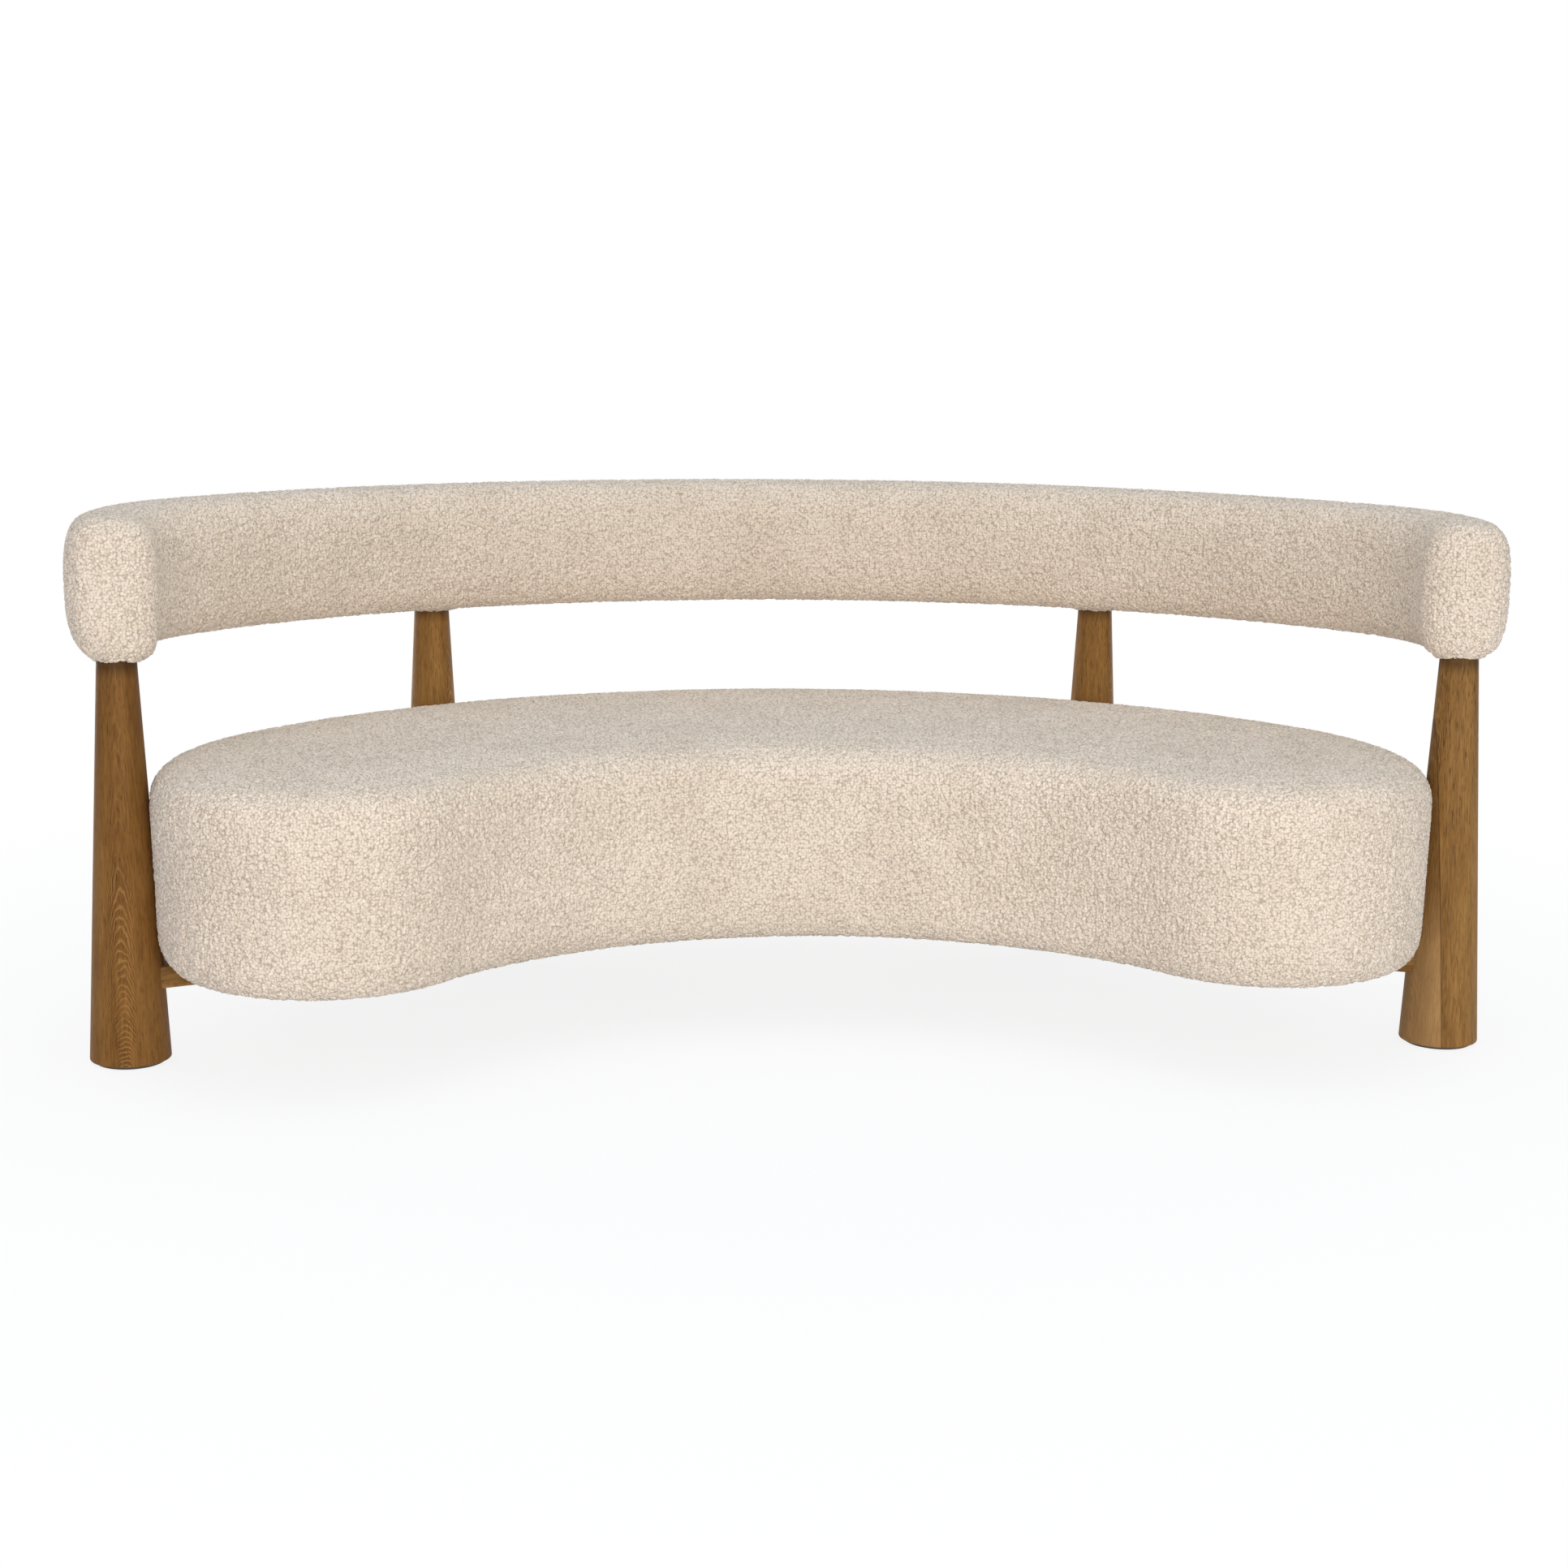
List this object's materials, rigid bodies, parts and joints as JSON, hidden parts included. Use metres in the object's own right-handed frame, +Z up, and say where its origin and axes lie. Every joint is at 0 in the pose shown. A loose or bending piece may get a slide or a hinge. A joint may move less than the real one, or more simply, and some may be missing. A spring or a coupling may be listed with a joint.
{
  "type": "curved sofa",
  "caption": "Curved sofa with a kidney-shaped fabric seat held inside a C-shaped fabric back rail on tapered wooden legs with crossed bars.",
  "frame": {"origin": "on the floor, under the middle of the sofa's outline", "axes": "+X along the sofa's length, to the right as seen from the front; +Y from the front towards the back rail; +Z up"},
  "size_m": [2.1074, 1.1034, 0.79],
  "materials": {
    "oak": "matt oiled brown oak, straight grain with small dark pores",
    "plywood": "sanded birch plywood, hidden",
    "hardboard": "smooth bent hardboard, hidden",
    "boucle": "cream boucle with small looped curls, matt",
    "foam": "cut polyurethane foam, hidden",
    "dust_cloth": "thin black non-woven cloth",
    "zinc_steel": "bright zinc plate",
    "glide_plastic": "dark brown hard plastic, matt"
  },
  "bodies": {
    "root": {"leg_front_left": "oak", "glide_front_left": "glide_plastic", "glide_screw_front_left": "zinc_steel", "leg_stud_front_left": "zinc_steel", "leg_front_right": "oak", "glide_front_right": "glide_plastic", "glide_screw_front_right": "zinc_steel", "leg_stud_front_right": "zinc_steel", "leg_rear_left": "oak", "glide_rear_left": "glide_plastic", "glide_screw_rear_left": "zinc_steel", "leg_stud_rear_left": "zinc_steel", "leg_rear_right": "oak", "glide_rear_right": "glide_plastic", "glide_screw_rear_right": "zinc_steel", "leg_stud_rear_right": "zinc_steel", "cross_bar_left": "oak", "cross_bar_right": "oak", "frame_bolt_centre": "zinc_steel", "frame_washer_centre": "zinc_steel", "tee_nut_centre": "zinc_steel", "frame_bolt_front_left": "zinc_steel", "frame_washer_front_left": "zinc_steel", "tee_nut_front_left": "zinc_steel", "frame_bolt_front_right": "zinc_steel", "frame_washer_front_right": "zinc_steel", "tee_nut_front_right": "zinc_steel", "frame_bolt_rear_left": "zinc_steel", "frame_washer_rear_left": "zinc_steel", "tee_nut_rear_left": "zinc_steel", "frame_bolt_rear_right": "zinc_steel", "frame_washer_rear_right": "zinc_steel", "tee_nut_rear_right": "zinc_steel", "seat_base_panel": "plywood", "seat_skirt": "plywood", "seat_rib_1": "plywood", "seat_rib_2": "plywood", "seat_rib_3": "plywood", "seat_rib_4": "plywood", "seat_rib_5": "plywood", "seat_deck": "plywood", "seat_foam": "foam", "seat_cover": "boucle", "seat_dust_cover": "dust_cloth", "rail_bottom_board": "plywood", "rail_top_board": "plywood", "rail_block_front_left": "plywood", "rail_block_front_right": "plywood", "rail_block_rear_left": "plywood", "rail_block_rear_right": "plywood", "rail_block_middle": "plywood", "rail_skin_outer": "hardboard", "rail_skin_inner": "hardboard", "rail_foam": "foam", "rail_cover": "boucle"}
  },
  "joints": []
}
